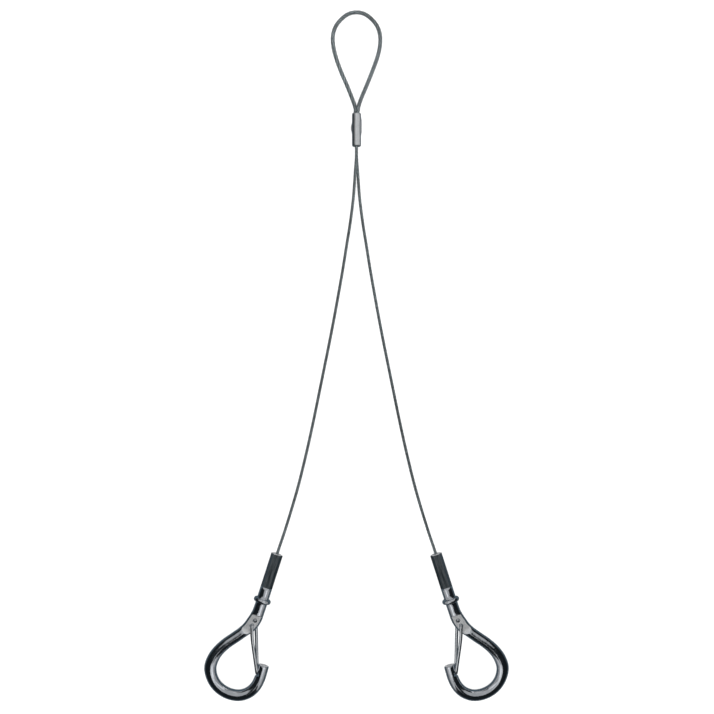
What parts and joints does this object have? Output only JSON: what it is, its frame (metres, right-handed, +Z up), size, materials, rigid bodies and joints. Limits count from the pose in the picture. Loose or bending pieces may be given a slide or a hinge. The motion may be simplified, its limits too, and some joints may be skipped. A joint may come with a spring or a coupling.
{
  "type": "wire rope sling",
  "caption": "Wire rope bridle sling laid flat: a soft rope eye and splayed leg ropes pressed into a ferrule, each leg crimped into a snap hook closed by a sprung wire gate.",
  "frame": {"origin": "floor under the middle of the metal fittings, halfway from the ferrule's top face to the hooks' far ends", "axes": "+Y from the hooks to the eye, +X to the right seen from above, +Z up from the floor that the sling lies on"},
  "size_m": [0.2362, 0.537, 0.0136],
  "materials": {
    "eye_rope_wire": "stranded galvanised steel wire rope",
    "leg_rope_wire": "stranded galvanised steel wire rope",
    "ferrule_metal": "satin, pressed",
    "hook_metal": "bright zinc plated, crimped sleeve duller",
    "gate_wire": "bright drawn spring wire"
  },
  "bodies": {
    "ferrule_and_eye": {"eye_rope": "eye_rope_wire", "ferrule": "ferrule_metal", "left_leg_rope_top": "leg_rope_wire", "right_leg_rope_top": "leg_rope_wire"},
    "left_leg": {"left_leg_rope": "leg_rope_wire", "left_hook": "hook_metal", "left_gate_rear_end": "gate_wire"},
    "left_gate": {"left_gate": "gate_wire"},
    "right_leg": {"right_leg_rope": "leg_rope_wire", "right_hook": "hook_metal", "right_gate_rear_end": "gate_wire"},
    "right_gate": {"right_gate": "gate_wire"}
  },
  "joints": [
    {"name": "left_leg_swing", "type": "hinge", "parent": "ferrule_and_eye", "child": "left_leg", "pos_m": [-0.0015, 0.1751, 0.00386], "axis": [0, 0, -1], "range_deg": [-5, 20]},
    {"name": "right_leg_swing", "type": "hinge", "parent": "ferrule_and_eye", "child": "right_leg", "pos_m": [0.0015, 0.1751, 0.00252], "axis": [0, 0, 1], "range_deg": [-5, 20]},
    {"name": "left_gate_swing", "type": "hinge", "parent": "left_leg", "child": "left_gate", "pos_m": [-0.08086, -0.16883, 0.00616], "axis": [0.0095, 0.0297, -0.9995], "range_deg": [0, 24], "stiffness_Nm_per_rad": 0.1, "springref_deg": -20.05},
    {"name": "right_gate_swing", "type": "hinge", "parent": "right_leg", "child": "right_gate", "pos_m": [0.08086, -0.16883, 0.00616], "axis": [0.0095, -0.0297, 0.9995], "range_deg": [0, 24], "stiffness_Nm_per_rad": 0.1, "springref_deg": -20.05}
  ]
}
